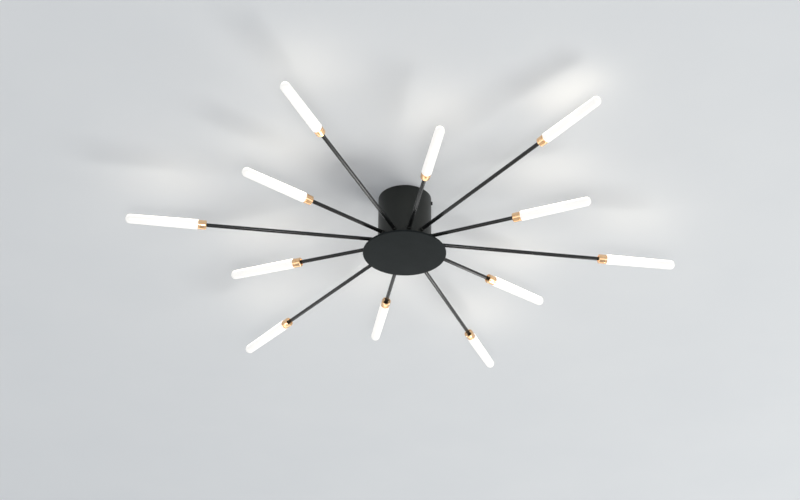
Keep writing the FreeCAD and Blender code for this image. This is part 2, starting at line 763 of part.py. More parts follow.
def make_input_lead():
    """Lead from the terminal block's front, down in a U, to the driver's front."""
    radius = "supply_lead_diameter / 2"
    across = "-block_pole_spacing"
    elbow = "%s - supply_lead_stub" % DRIVER_FRONT
    high = "-driver_top_depth + block_height / 2"
    low = "%s - 2 * supply_lead_bend - supply_lead_drop" % high
    top_run = locate(cylinder("input_top_run", radius, "%s - (%s)" % (BLOCK_FRONT, elbow)), across, elbow, high,
                     ALONG_Y)
    upper, rotation = lead_bend("input_upper_bend", "supply_lead_bend", radius, 1)
    locate(upper, across, elbow, high + " - supply_lead_bend", rotation)
    drop = locate(cylinder("input_drop", radius, "supply_lead_drop"), across, elbow + " - supply_lead_bend",
                  low + " + supply_lead_bend")
    lower, rotation = lead_bend("input_lower_bend", "supply_lead_bend", radius, 2)
    locate(lower, across, elbow, low + " + supply_lead_bend", rotation)
    end_run = locate(cylinder("input_end_run", radius, "supply_lead_stub"), across, elbow, low, ALONG_Y)
    return fused("input_lead_fused", [top_run, upper, drop, lower, end_run])


def make_output_lead():
    """Lead from the driver's front to the middle, and down into the splice barrel."""
    radius = "output_lead_diameter / 2"
    high = "-driver_top_depth - output_lead_top_share * %s" % ROOM
    turn = "(output_lead_bend_share * %s)" % ROOM
    run = locate(cylinder("output_run", radius, "%s - %s" % (DRIVER_FRONT, turn)), "0", turn, high, ALONG_Y)
    bend, rotation = lead_bend("output_bend", turn, radius, 1)
    locate(bend, "0", turn, "%s - %s" % (high, turn), rotation)
    low = "-%s - splice_hole_share * %s + lead_end_gap" % (SPLICE_TOP, SPLICE_LENGTH)
    drop = locate(cylinder("output_drop", radius, "%s - %s - (%s)" % (high, turn, low)), up=low)
    return fused("output_lead_fused", [run, bend, drop])


def make_splice():
    """Barrel on the axis: the twelve arm leads enter from below and the driver's lead from above."""
    hole = "output_lead_diameter / 2 + lead_hole_clearance"
    mouth_floor = "splice_mouth_share * " + SPLICE_LENGTH
    hole_floor = "(1 - splice_hole_share) * " + SPLICE_LENGTH
    corners = [("0", mouth_floor), ("splice_mouth_diameter / 2", mouth_floor),
               ("splice_mouth_diameter / 2", "0"), ("splice_diameter / 2", "0"),
               ("splice_diameter / 2", SPLICE_LENGTH), (hole, SPLICE_LENGTH), (hole, hole_floor),
               ("0", hole_floor)]
    return locate(turned("splice_barrel", corners, "XZ_Plane", "V_Axis"), up="-%s - %s" % (SPLICE_TOP, SPLICE_LENGTH))


def make_light():
    """Builds every sub-part and gives each its node."""
    arms = range(1, ARM_COUNT + 1)
    drum = locate(cylinder("canopy_drum", CANOPY_RADIUS, "canopy_height"), up="-canopy_height")
    bore = locate(cylinder("canopy_bore", CANOPY_INSIDE, "canopy_height"), up="-canopy_height")
    for number in arms:
        node(arm_name(number, "rod"), make_rod(number))
        node(arm_name(number, "ring"), make_ring(number))
        node(arm_name(number, "shade"), make_shade(number))
    node("light_sticks", group("stick_group", [make_stick(number) for number in arms]))
    node("stick_plugs", group("plug_group", [make_plug(number) for number in arms]))
    node("arm_collars", group("collar_group", [make_collar(number, drum) for number in arms]))
    node("arm_nuts", group("arm_nut_group", [make_arm_nut(number) for number in arms]))
    node("arm_leads", group("arm_lead_group", [make_arm_lead(number) for number in arms]))
    node("canopy", make_canopy())
    node("bottom_disc", make_disc())
    studs = range(1, STUD_COUNT + 1)
    node("disc_studs", group("stud_group", [make_stud(number) for number in studs]))
    node("disc_nuts", group("stud_nut_group", [make_stud_nut(number) for number in studs]))
    node("ceiling_bracket", make_bracket())
    node("earth_screw", make_earth_screw())
    node("earth_washer", make_earth_washer())
    sides = range(1, SIDE_SCREW_COUNT + 1)
    node("canopy_screws", group("side_screw_group", [make_side_screw(number) for number in sides]))
    node("canopy_weld_nuts", group("weld_nut_group", [make_weld_nut(number, bore) for number in sides]))
    node("led_driver", make_driver())
    node("driver_pad", make_pad(bore))
    node("terminal_block", make_block())
    node("input_lead", make_input_lead())
    node("output_lead", make_output_lead())
    node("lead_splice", make_splice())


def check_and_write():
    """Stops on any failed object or bad shape, and otherwise writes each node's file."""
    document.recompute()
    failed = [item.Name for item in document.Objects if {"Invalid", "Error"} & set(item.State)]
    if failed:
        raise RuntimeError("failed objects: %s" % failed)
    for name, item in nodes.items():
        shape = item.Shape
        if shape.isNull() or not shape.isValid() or not shape.Solids:
            raise RuntimeError("bad shape: " + name)
    os.makedirs("parts", exist_ok=True)
    for name, item in nodes.items():
        item.Shape.exportStep(os.path.join("parts", name + ".step"))
        print("%-20s %2d solids %10.1f mm3" % (name, len(item.Shape.Solids), item.Shape.Volume))


make_light()
check_and_write()
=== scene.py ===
"""Looks of the flush ceiling light: finishes, turned gold rings, lit opal tubes and inner pieces.

Metres, in the CAD model's own frame: the ceiling is the plane z = 0, +Z is up, the lamp's axis is
the Z axis. An arm's own frame has +X along its rod, away from the lamp's axis, and starts on that
axis at the arms' depth.
"""

import json
import logging
import math
from dataclasses import dataclass, field
from enum import Enum

import bmesh
import bpy
import numpy as np
from mathutils import Matrix, Vector, noise


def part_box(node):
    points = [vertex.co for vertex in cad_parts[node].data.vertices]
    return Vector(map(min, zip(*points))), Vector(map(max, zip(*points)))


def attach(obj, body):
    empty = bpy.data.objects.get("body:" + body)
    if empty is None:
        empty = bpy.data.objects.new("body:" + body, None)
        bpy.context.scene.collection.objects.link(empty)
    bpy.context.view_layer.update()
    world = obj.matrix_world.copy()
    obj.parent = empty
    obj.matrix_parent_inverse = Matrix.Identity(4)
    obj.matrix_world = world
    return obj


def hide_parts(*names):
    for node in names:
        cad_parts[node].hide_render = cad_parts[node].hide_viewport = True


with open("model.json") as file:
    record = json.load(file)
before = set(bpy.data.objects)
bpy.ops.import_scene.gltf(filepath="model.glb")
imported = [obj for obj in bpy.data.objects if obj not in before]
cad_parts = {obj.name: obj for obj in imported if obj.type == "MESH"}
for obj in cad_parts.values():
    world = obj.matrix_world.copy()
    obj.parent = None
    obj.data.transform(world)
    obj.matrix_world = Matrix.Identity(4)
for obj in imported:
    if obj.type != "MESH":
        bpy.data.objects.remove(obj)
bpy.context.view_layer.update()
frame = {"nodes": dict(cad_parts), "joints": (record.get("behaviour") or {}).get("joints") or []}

MM = 0.001
WELD = 0.001 * MM
ARM_COUNT = 12
LAMP = "lamp"
OWN_PLACE = "own_place"
TURN = "turn"
SMOOTH_BELOW = math.radians(32)
log = logging.getLogger("ceiling_light")

Colour = tuple[float, float, float]
Corner = tuple[float, float, float]
Point = tuple[float, float]
Item = bpy.types.Object
Material = bpy.types.Material
Socket = bpy.types.NodeSocket

NOISE_SPREAD: Point = (0.3, 0.7)
WHOLE: Point = (0.0, 1.0)


class Slot(Enum):
    """Material slots of the record."""

    BLACK_PAINT = "black_paint"
    ROD_PAINT = "rod_paint"
    BLACK_STEEL = "black_steel"
    GOLD = "gold"
    OPAL = "opal_acrylic"
    ZINC = "zinc_steel"
    BRASS = "brass_plate"
    DRIVER = "driver_plastic"
    BLOCK = "block_plastic"
    FOAM = "foam"
    LEAD = "lead_sheath"
    ARM_LEAD = "arm_lead_sheath"
    SPLICE = "splice_plastic"
    PLUG = "plug_plastic"
    BOARD = "light_board"


class Graph:
    """A node tree that is filled by short calls."""

    def __init__(self, tree: bpy.types.NodeTree) -> None:
        """Starts from an empty tree."""
        self.tree = tree
        tree.nodes.clear()

    def put(self, socket: Socket, value: object) -> None:
        """Links or sets an input.

        Args:
            socket: the input.
            value: a value or another node's output.
        """
        if isinstance(value, Socket):
            self.tree.links.new(value, socket)
        else:
            socket.default_value = value

    def node(self, kind: str, inputs: dict | None = None, **settings: object) -> bpy.types.Node:
        """Adds a node.

        Args:
            kind: the node's type.
            inputs: for each input, by its name or place, a value or another node's output.
            settings: the node's own properties.

        Returns:
            The new node.
        """
        made = self.tree.nodes.new(kind)
        for name, value in settings.items():
            setattr(made, name, value)
        for key, value in (inputs or {}).items():
            self.put(made.inputs[key], value)
        return made

    def out(self, kind: str, inputs: dict | None = None, **settings: object) -> Socket:
        """Adds a node as above and gives its first output."""
        return self.node(kind, inputs, **settings).outputs[0]

    def maths(self, operation: str, *values: object, clamped: bool = False) -> Socket:
        """The result of a sum on the values, kept from 0 to 1 if clamped."""
        inputs = dict(enumerate(values))
        return self.out("ShaderNodeMath", inputs, operation=operation, use_clamp=clamped)

    def parts(self, vector: Socket) -> bpy.types.bpy_prop_collection:
        """The X, Y and Z of a vector."""
        return self.node("ShaderNodeSeparateXYZ", {0: vector}).outputs

    def vector(self, **parts: Socket) -> Socket:
        """A vector from its X, Y and Z."""
        return self.out("ShaderNodeCombineXYZ", parts)

    def ramp(self, value: Socket, *stops: tuple[float, Colour]) -> Socket:
        """A blend through several colours.

        Args:
            value: what the blend follows.
            stops: for each colour, the value that it stands at, and the colour.

        Returns:
            The colour.
        """
        made = self.node("ShaderNodeValToRGB", {"Fac": value})
        elements = made.color_ramp.elements
        while len(elements) < len(stops):
            elements.new(0.5)
        for element, (place, colour) in zip(elements, stops):
            element.position = place
            element.color = (*colour, 1.0)
        return made.outputs["Color"]

    def either(self, which: Socket, first: object, second: object) -> Socket:
        """One of two colours.

        Args:
            which: zero for the first colour, one for the second.
            first: a colour, or a node's output.
            second: a colour, or a node's output.

        Returns:
            The colour.
        """
        mix = self.node("ShaderNodeMix", {"Factor": which}, data_type="RGBA")
        sockets = [item for item in mix.inputs if item.type == "RGBA"]
        for socket, value in zip(sockets, (first, second)):
            self.put(socket, value)
        return next(item for item in mix.outputs if item.type == "RGBA")


class Surface(Graph):
    """The node tree of one material around a Principled shader."""

    def __init__(self, name: str, own_place: bool = False) -> None:
        """Makes the material.

        Args:
            name: the material's name.
            own_place: whether patterns follow the piece's own frame, which its mesh stores.
        """
        self.material = bpy.data.materials.new(name)
        self.material.use_nodes = True
        super().__init__(self.material.node_tree)
        self.shader = self.node("ShaderNodeBsdfPrincipled")
        self.end = self.node("ShaderNodeOutputMaterial", {"Surface": self.shader.outputs[0]})
        if own_place:
            place = self.node("ShaderNodeAttribute", attribute_name=OWN_PLACE)
            self.place = place.outputs["Vector"]
        else:
            self.place = self.node("ShaderNodeTexCoord").outputs["Object"]

    def noise(self, place: Socket, size: float, detail: float) -> Socket:
        """Noise from 0 to 1, whose patches are about as wide as the size."""
        inputs = {"Vector": place, "Scale": 1.0 / size, "Detail": detail}
        return self.out("ShaderNodeTexNoise", inputs)

    def grain(self, size: float, detail: float, stretch: Colour = (1.0, 1.0, 1.0)) -> Socket:
        """Noise over the piece.

        Args:
            size: width of a patch in metres.
            detail: how many finer layers it has.
            stretch: how often it repeats along each axis, as a multiple.

        Returns:
            A value from 0 to 1.
        """
        spread = self.out("ShaderNodeMapping", {"Vector": self.place, "Scale": stretch})
        return self.noise(spread, size, detail)

    def length(self, vector: Socket) -> Socket:
        """The length of a vector."""
        return self.node("ShaderNodeVectorMath", {0: vector}, operation="LENGTH").outputs["Value"]

    def colours(self, value: Socket, low: Colour, high: Colour,
                between: Point = NOISE_SPREAD) -> Socket:
        """A blend from the low colour to the high one, between these values."""
        return self.ramp(value, (between[0], low), (between[1], high))

    def ranged(self, value: Socket, low: float, high: float,
               between: Point = NOISE_SPREAD) -> Socket:
        """The value stretched between two numbers.

        Args:
            value: what is stretched.
            low: the result at the lower end.
            high: the result at the upper end.
            between: the two ends of the value.

        Returns:
            The number.
        """
        ends = {"From Min": between[0], "From Max": between[1], "To Min": low, "To Max": high}
        return self.out("ShaderNodeMapRange", {"Value": value, **ends})

    def relief(self, height: Socket, depth: float) -> None:
        """Gives the shader bumps.

        Args:
            height: their height, from 0 to 1.
            depth: how deep they are, in metres.
        """
        bumps = self.out("ShaderNodeBump", {"Height": height, "Distance": depth, "Strength": 1.0})
        self.put(self.shader.inputs["Normal"], bumps)

    def dress(self, **inputs: object) -> Material:
        """Sets or links the shader's inputs.

        Args:
            inputs: for each input, its name with underscores for spaces, and a value or another
                node's output.

        Returns:
            The material.
        """
        for name, value in inputs.items():
            socket = self.shader.inputs[name.replace("_", " ")]
            if isinstance(value, tuple) and socket.type == "RGBA":
                value = (*value, 1.0)
            self.put(socket, value)
        return self.material


@dataclass(frozen=True)
class Finish:
    """A finish of two shades in soft patches, with a fine relief that can vary its gloss too."""

    name: str
    dark: Colour
    light: Colour
    roughness: Point
    patch_size: float
    fine_size: float
    fine_depth: float
    patch_detail: float = 3.0
    fine_detail: float = 3.0
    stretch: Colour = (1.0, 1.0, 1.0)
    gloss_in_patches: bool = False
    shine: float = 0.5
    metallic: float = 0.0
    own_place: bool = False

    def fine(self, surface: Surface) -> Socket:
        """The height of the fine relief."""
        return surface.grain(self.fine_size, self.fine_detail, self.stretch)

    def material(self) -> Material:
        """Builds the finish.

        Returns:
            The material.
        """
        surface = Surface(self.name, self.own_place)
        patches = surface.grain(self.patch_size, self.patch_detail)
        fine = self.fine(surface)
        surface.relief(fine, self.fine_depth)
        gloss = patches if self.gloss_in_patches else fine
        return surface.dress(Base_Color=surface.colours(patches, self.dark, self.light),
                             Metallic=self.metallic, Specular_IOR_Level=self.shine,
                             Roughness=surface.ranged(gloss, *self.roughness))


@dataclass(frozen=True)
class PowderCoat(Finish):
    """Black coat with the fine orange-peel skin of baked powder."""

    dark: Colour = (0.0085, 0.0115, 0.0120)
    light: Colour = (0.0118, 0.0155, 0.0162)
    roughness: Point = (0.46, 0.56)
    patch_size: float = 30 * MM
    fine_size: float = 0.9 * MM
    fine_depth: float = 0.018 * MM
    shine: float = 0.085


@dataclass(frozen=True)
class RodPaint(Finish):
    """Black enamel of the rods, glossier than the powder coat, with lines along the tube."""

    dark: Colour = (0.0065, 0.0073, 0.0073)
    light: Colour = (0.011, 0.012, 0.012)
    roughness: Point = (0.18, 0.25)
    patch_size: float = 12 * MM
    fine_size: float = 0.35 * MM
    fine_depth: float = 0.004 * MM
    fine_detail: float = 2.0
    stretch: Colour = (0.02, 1.0, 1.0)
    gloss_in_patches: bool = True
    shine: float = 0.42
    own_place: bool = True


@dataclass(frozen=True)
class PolishedGold(Finish):
    """Polished rose-gold plate over turned brass."""

    dark: Colour = (0.92, 0.565, 0.30)
    light: Colour = (0.92, 0.64, 0.395)
    roughness: Point = (0.10, 0.18)
    patch_size: float = 5 * MM
    fine_size: float = 0.22 * MM
    fine_depth: float = 0.0035 * MM
    patch_detail: float = 2.0
    metallic: float = 1.0
    own_place: bool = True

    def fine(self, surface: Surface) -> Socket:
        """Lines left by a lathe around the ring's own X axis.

        Args:
            surface: the material's nodes.

        Returns:
            Their height, from 0 to 1.
        """
        place = surface.parts(surface.place)
        radius = surface.length(surface.vector(Y=place["Y"], Z=place["Z"]))
        along = surface.vector(X=place["X"], Y=radius)
        return surface.noise(along, self.fine_size, self.fine_detail)


@dataclass(frozen=True)
class PlatedMetal(Finish):
    """Plated steel or brass, with soft patches in the plate and fine scuffs."""

    roughness: Point = (0.26, 0.40)
    patch_size: float = 3 * MM
    fine_size: float = 0.5 * MM
    fine_depth: float = 0.006 * MM
    metallic: float = 1.0


@dataclass(frozen=True)
class MouldedPlastic(Finish):
    """Moulded plastic with a fine spark-eroded grain."""

    roughness: Point = (0.42, 0.55)
    patch_size: float = 8 * MM
    fine_size: float = 0.35 * MM
    fine_depth: float = 0.012 * MM
    patch_detail: float = 2.0
    fine_detail: float = 2.0


@dataclass(frozen=True)
class OpalAcrylic:
    """Opal acrylic, lit from inside: even, and a little weaker at the tip, where the stick ends."""

    name: str
    body: Colour = (0.45, 0.45, 0.445)
    glow: Colour = (1.0, 0.975, 0.93)
    glow_above: Colour = (1.0, 0.88, 0.70)
    strength: float = 0.70
    strength_above: float = 3.2
    above: Point = (1.0 * MM, 6.0 * MM)
    at_tip: float = 0.94
    fading: Point = (60 * MM, 103 * MM)
    cloud_size: float = 9 * MM
    cloud_detail: float = 2.0
    cloud: Point = (0.97, 1.03)
    roughness: Point = (0.24, 0.34)

    def material(self) -> Material:
        """Builds the lit acrylic, which is brightest above, towards the ceiling.

        Returns:
            The material.
        """
        surface = Surface(self.name, own_place=True)
        place = surface.parts(surface.place)
        clouds = surface.grain(self.cloud_size, self.cloud_detail)
        upward = surface.ranged(place["Z"], *WHOLE, self.above)
        strength = surface.ranged(upward, self.strength, self.strength_above, WHOLE)
        fade = surface.ranged(place["X"], 1.0, self.at_tip, self.fading)
        uneven = surface.maths("MULTIPLY", fade, surface.ranged(clouds, *self.cloud))
        return surface.dress(
            Base_Color=self.body, Roughness=surface.ranged(clouds, *self.roughness),
            Emission_Color=surface.colours(upward, self.glow, self.glow_above, WHOLE),
            Emission_Strength=surface.maths("MULTIPLY", strength, uneven))


@dataclass(frozen=True)
class FoamTape:
    """Grey closed-cell foam, pitted by its cells, with painted shade that darkens each pit towards
    its bottom.
    """

    name: str
    # dark is the painted shade at the bottom of a pit, light the foam at the pits' rims
    dark: Colour = (0.045, 0.047, 0.050)
    light: Colour = (0.110, 0.113, 0.118)
    pit_shade_spread: Point = (0.1, 0.8)
    cell_size: float = 0.5 * MM
    cell_depth: float = 0.12 * MM
    roughness: float = 0.92

    def material(self) -> Material:
        """Builds the foam, with painted shade: darker where a pit is deeper.

        Returns:
            The material.
        """
        surface = Surface(self.name)
        cells = {"Vector": surface.place, "Scale": 1.0 / self.cell_size}
        depth = surface.node("ShaderNodeTexVoronoi", cells).outputs["Distance"]
        surface.relief(depth, self.cell_depth)
        # painted shade: the colour follows the pit depth, dark deep in each cell
        return surface.dress(Base_Color=surface.colours(depth, self.dark, self.light, self.pit_shade_spread),
                             Roughness=self.roughness)


@dataclass(frozen=True)
class LedPhosphor:
    """Yellow phosphor gel of an LED chip, lit."""

    name: str
    dark: Colour = (0.86, 0.66, 0.20)
    light: Colour = (0.95, 0.80, 0.34)
    glow: Colour = (1.0, 0.90, 0.66)
    strength: float = 0.7
    roughness: float = 0.35
    grain_size: float = 0.25 * MM
    grain_detail: float = 2.0
    grain_depth: float = 0.02 * MM

    def material(self) -> Material:
        """Builds the phosphor.

        Returns:
            The material.
        """
        surface = Surface(self.name)
        grains = surface.grain(self.grain_size, self.grain_detail)
        surface.relief(grains, self.grain_depth)
        return surface.dress(Base_Color=surface.colours(grains, self.dark, self.light),
                             Roughness=self.roughness, Emission_Color=self.glow,
                             Emission_Strength=self.strength)


@dataclass(frozen=True)
class CeilingPaint:
    """Matt wall paint of the ceiling, clear from above and over the canopy, to show the light."""

    name: str = "ceiling_paint"
    dark: Colour = (0.785, 0.800, 0.815)
    light: Colour = (0.805, 0.818, 0.830)
    roughness: float = 0.9
    shine: float = 0.2
    patch_size: float = 180 * MM
    patch_detail: float = 3.0
    opening_radius: float = 37.4 * MM

    def material(self) -> Material:
        """Builds the paint.

        Returns:
            The material.
        """
        surface = Surface(self.name)
        patches = surface.grain(self.patch_size, self.patch_detail)
        surface.dress(Base_Color=surface.colours(patches, self.dark, self.light),
                      Roughness=self.roughness, Specular_IOR_Level=self.shine)
        inside = surface.maths("LESS_THAN", surface.length(surface.place), self.opening_radius)
        seen = surface.node("ShaderNodeLightPath").outputs["Is Camera Ray"]
        lit_through = surface.maths("SUBTRACT", inside, seen, clamped=True)
        above = surface.node("ShaderNodeNewGeometry").outputs["Backfacing"]
        opened = surface.maths("MAXIMUM", above, lit_through)
        paint, clear = surface.shader.outputs[0], surface.out("ShaderNodeBsdfTransparent")
        both = surface.out("ShaderNodeMixShader", {0: opened, 1: paint, 2: clear})
        surface.put(surface.end.inputs["Surface"], both)
        return surface.material


class Finishes:
    """Every finish of the light, made once."""

    def __init__(self) -> None:
        """Builds one material for each slot of the record, and the canopy's and the chips' own."""
        sheath, mask = (0.34, 0.44), (0.28, 0.38)
        metals = {
            Slot.BLACK_STEEL: ("black_oxide", (0.020, 0.020, 0.021), (0.045, 0.045, 0.048)),
            Slot.ZINC: ("zinc_plate", (0.50, 0.52, 0.53), (0.68, 0.70, 0.70)),
            Slot.BRASS: ("satin_brass", (0.66, 0.47, 0.18), (0.84, 0.64, 0.28)),
        }
        plastics = {
            Slot.DRIVER: ("driver_housing", (0.74, 0.75, 0.75), (0.82, 0.82, 0.81)),
            Slot.BLOCK: ("terminal_block_nylon", (0.80, 0.78, 0.70), (0.88, 0.86, 0.78)),
            Slot.LEAD: ("white_lead_sheath", (0.70, 0.70, 0.67), (0.78, 0.78, 0.75), sheath),
            Slot.ARM_LEAD: ("red_lead_sheath", (0.55, 0.03, 0.025), (0.68, 0.06, 0.05), sheath),
            Slot.SPLICE: ("splice_nylon", (0.80, 0.79, 0.74), (0.90, 0.89, 0.84)),
            Slot.PLUG: ("plug_nylon", (0.84, 0.84, 0.82), (0.92, 0.92, 0.90)),
            Slot.BOARD: ("white_board_mask", (0.86, 0.86, 0.84), (0.93, 0.93, 0.91), mask),
        }
        finishes = {
            Slot.BLACK_PAINT: PowderCoat("black_powder_coat"),
            Slot.ROD_PAINT: RodPaint("black_rod_enamel"),
            Slot.GOLD: PolishedGold("polished_rose_gold"),
            Slot.OPAL: OpalAcrylic("lit_opal_acrylic"),
            Slot.FOAM: FoamTape("foam_tape"),
            **{slot: PlatedMetal(*values) for slot, values in metals.items()},
            **{slot: MouldedPlastic(*values) for slot, values in plastics.items()},
        }
        self.made = {slot: finish.material() for slot, finish in finishes.items()}
        canopy = PowderCoat("canopy_satin_coat", (0.0150, 0.0168, 0.0148), (0.0200, 0.0222, 0.0196),
                            (0.36, 0.46), shine=0.30)
        self.canopy_coat = canopy.material()
        self.phosphor = LedPhosphor("led_phosphor").material()

    def dress(self, slot: Slot, *nodes: str, material: Material | None = None) -> None:
        """Gives CAD nodes their finish.

        Args:
            slot: the record's material slot.
            nodes: the CAD nodes' names.
            material: the finish, or None for the slot's usual one.
        """
        chosen = material or self.made[slot]
        for node in nodes:
            item = frame["nodes"][node]
            item.data.materials.clear()
            item.data.materials.append(chosen)
            log.info("%s keeps its CAD shape, in %s", node, chosen.name)


def rounded(corners: list[Corner], steps: int) -> list[Point]:
    """An outline whose corners are rounded. The ends of an open one have no roundness.

    Args:
        corners: each corner's place along the axis, its radius from the axis, and how round it is.
        steps: how many straight pieces a rounding has.

    Returns:
        The outline's points.
    """
    points: list[Point] = []
    count = len(corners)
    for index, (along, radius, roundness) in enumerate(corners):
        here = Vector((along, radius))
        if roundness <= 0:
            points.append(tuple(here))
            continue
        back = (Vector(corners[index - 1][:2]) - here).normalized()
        ahead = (Vector(corners[(index + 1) % count][:2]) - here).normalized()
        half = back.angle(ahead) / 2
        reach = roundness / math.tan(half)
        centre = here + (back + ahead).normalized() * (roundness / math.sin(half))
        first = here + back * reach - centre
        last = here + ahead * reach - centre
        sweep = first.angle_signed(last)
        for step in range(steps + 1):
            points.append(tuple(centre + Matrix.Rotation(-sweep * step / steps, 2) @ first))
    return points


def arc(centre: float, radius: float, steps: int) -> list[Point]:
    """A quarter circle about a point on the axis, from the side to the tip.

    Args:
        centre: the point's place along the axis.
        radius: the circle's radius.
        steps: how many straight pieces it has.

    Returns:
        Its points.
    """
    angles = [math.pi / 2 * step / steps for step in range(steps + 1)]
    return [(centre + radius * math.sin(angle), radius * math.cos(angle)) for angle in angles]


def added(name: str, data: bpy.types.ID) -> Item:
    """Puts a new object into the scene.

    Args:
        name: the object's name.
        data: its mesh, light or camera.

    Returns:
        The object.
    """
    item = bpy.data.objects.new(name, data)
    bpy.context.scene.collection.objects.link(item)
    return item


def face_out(mesh: bpy.types.Mesh) -> None:
    """Turns each closed part of a mesh outwards, and makes it smooth but for its sharp edges.

    Args:
        mesh: the mesh.
    """
    work = bmesh.new()
    work.from_mesh(mesh)
    bmesh.ops.recalc_face_normals(work, faces=work.faces[:])
    if work.calc_volume(signed=True) < 0:
        bmesh.ops.reverse_faces(work, faces=work.faces[:])
    work.to_mesh(mesh)
    work.free()
    mesh.polygons.foreach_set("use_smooth", [True] * len(mesh.polygons))
    mesh.set_sharp_from_angle(angle=SMOOTH_BELOW)


def finished(item: Item, body: str, slot: Slot, *nodes: str) -> None:
    """Hands a piece over: its body and the CAD nodes that it stands for.

    Args:
        item: the piece.
        body: the body that it rides on.
        slot: the record's material slot; not used.
        nodes: the CAD nodes that it stands for.
    """
    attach(item, body)
    if nodes:
        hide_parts(*nodes)
    log.info("%s: %d faces, on %s", item.name, len(item.data.polygons), body)


class GeometryTree(Graph):
    """A Geometry Nodes tree with named inputs, which ends in one material."""

    def __init__(self, name: str, **inputs: str) -> None:
        """Makes the tree.

        Args:
            name: the tree's name.
            inputs: for each input, its name with underscores for spaces, and its socket's type.
        """
        tree = bpy.data.node_groups.new(name, "GeometryNodeTree")
        super().__init__(tree)
        tree.interface.new_socket("Geometry", in_out="OUTPUT", socket_type="NodeSocketGeometry")
        for item, kind in {"Geometry": "Geometry", **inputs, "Material": "Material"}.items():
            tree.interface.new_socket(item.replace("_", " "), in_out="INPUT",
                                      socket_type="NodeSocket" + kind)
        self.given = self.node("NodeGroupInput").outputs

    def end(self, geometry: Socket) -> None:
        """Ends the tree: instances are made real and the material is set.

        Args:
            geometry: what the tree makes.
        """
        real = self.out("GeometryNodeRealizeInstances", {0: geometry})
        finish = {"Geometry": real, "Material": self.given["Material"]}
        self.node("NodeGroupOutput", {0: self.out("GeometryNodeSetMaterial", finish)})

    def grown(self, item: Item, name: str, **inputs: object) -> Item:
        """Runs the tree on an object and makes the result a plain mesh.

        Args:
            item: the object. It is removed.
            name: the new object's name.
            inputs: for each input, its name with underscores for spaces, and its value.

        Returns:
            The new object.
        """
        modifier = item.modifiers.new(self.tree.name, "NODES")
        modifier.node_group = self.tree
        identifiers = {socket.name.replace(" ", "_"): socket.identifier
                       for socket in self.tree.interface.items_tree if socket.in_out == "INPUT"}
        for key, value in inputs.items():
            modifier[identifiers[key]] = value
        bpy.context.view_layer.update()
        done = item.evaluated_get(bpy.context.evaluated_depsgraph_get())
        mesh = bpy.data.meshes.new_from_object(done)
        bpy.data.objects.remove(item)
        mesh.name = name
        mesh.materials.clear()
        mesh.materials.append(inputs["Material"])
        mesh.polygons.foreach_set("material_index", [0] * len(mesh.polygons))
        face_out(mesh)
        return added(name, mesh)


class Lathe(GeometryTree):
    """Turns an outline about its piece's own X axis, stores each point's place and carries it.

    The outline is a line of edges at (along the axis, from the axis). It runs round a circle of one
    metre, which leaves its distance from the axis true once that metre is taken off.
    """

    def __init__(self, finishes: Finishes) -> None:
        """Builds the tree.

        Args:
            finishes: the finishes of its pieces.
        """
        super().__init__("turned_piece", Steps="Int", Place="Vector", Turn="Vector")
        self.finishes = finishes
        given, radius = self.given, 1.0
        place = self.out("GeometryNodeInputPosition")
        parts = self.parts(place)
        inward = self.maths("SUBTRACT", parts["Y"], radius)
        laid = self.vector(X=inward, Y=self.maths("MULTIPLY", parts["X"], -1.0))
        flat = self.out("GeometryNodeSetPosition", {0: given["Geometry"], "Position": laid})
        outline = self.out("GeometryNodeMeshToCurve", {0: flat})
        ring = {"Resolution": given["Steps"], "Radius": radius}
        circle = self.out("GeometryNodeCurvePrimitiveCircle", ring)
        skin = self.out("GeometryNodeCurveToMesh", {"Curve": circle, "Profile Curve": outline})
        whole = self.out("GeometryNodeMergeByDistance", {"Geometry": skin, "Distance": WELD})
        own = self.vector(X=parts["Z"], Y=parts["X"], Z=parts["Y"])
        lying = self.out("GeometryNodeSetPosition", {"Geometry": whole, "Position": own})
        stored = self.node("GeometryNodeStoreNamedAttribute", {0: lying, "Name": OWN_PLACE},
                           data_type="FLOAT_VECTOR", domain="POINT")
        value = next(item for item in stored.inputs if item.name == "Value" and item.enabled)
        self.put(value, place)
        turned = {"Translation": given["Place"], "Rotation": given["Turn"]}
        self.end(self.out("GeometryNodeTransform", {0: stored.outputs[0], **turned}))

    def turned(self, name: str, node: str, outline: list[Point], steps: int, slot: Slot,
               place: Vector, turn: Matrix, body: str = LAMP, closed: bool = True) -> None:
        """A piece turned about its own X axis.

        Args:
            name: the piece's name.
            node: the CAD node that it stands for.
            outline: its points, along the axis and from the axis.
            steps: how many flats the circle has.
            slot: the record's material slot.
            place: where its own frame starts.
            turn: how its own frame stands.
            body: the body that it rides on.
            closed: whether the outline's last point joins its first.
        """
        mesh = bpy.data.meshes.new(name + "_outline")
        count = len(outline)
        edges = [(index, (index + 1) % count) for index in range(count if closed else count - 1)]
        edges = [edge for edge in edges if max(outline[end][1] for end in edge) > WELD]
        mesh.from_pydata([(along, radius, 0.0) for along, radius in outline], edges, [])
        item = added(name + "_outline", mesh)
        item = self.grown(item, name, Steps=steps, Place=tuple(place),
                          Turn=tuple(turn.to_euler()), Material=self.finishes.made[slot])
        finished(item, body, slot, node)


class EveryArmTree(GeometryTree):
    """Puts a copy of one pattern piece on every point, turned as the point says."""

    def __init__(self) -> None:
        """Builds the tree."""
        super().__init__("on_every_arm", Pattern="Object")
        pattern = self.node("GeometryNodeObjectInfo", {"Object": self.given["Pattern"]})
        named = "GeometryNodeInputNamedAttribute"
        turn = self.node(named, {"Name": TURN}, data_type="FLOAT_VECTOR")
        facing = next(item for item in turn.outputs if item.name == "Attribute" and item.enabled)
        copies = {"Points": self.given["Geometry"], "Instance": pattern.outputs["Geometry"],
                  "Rotation": facing}
        self.end(self.out("GeometryNodeInstanceOnPoints", copies))


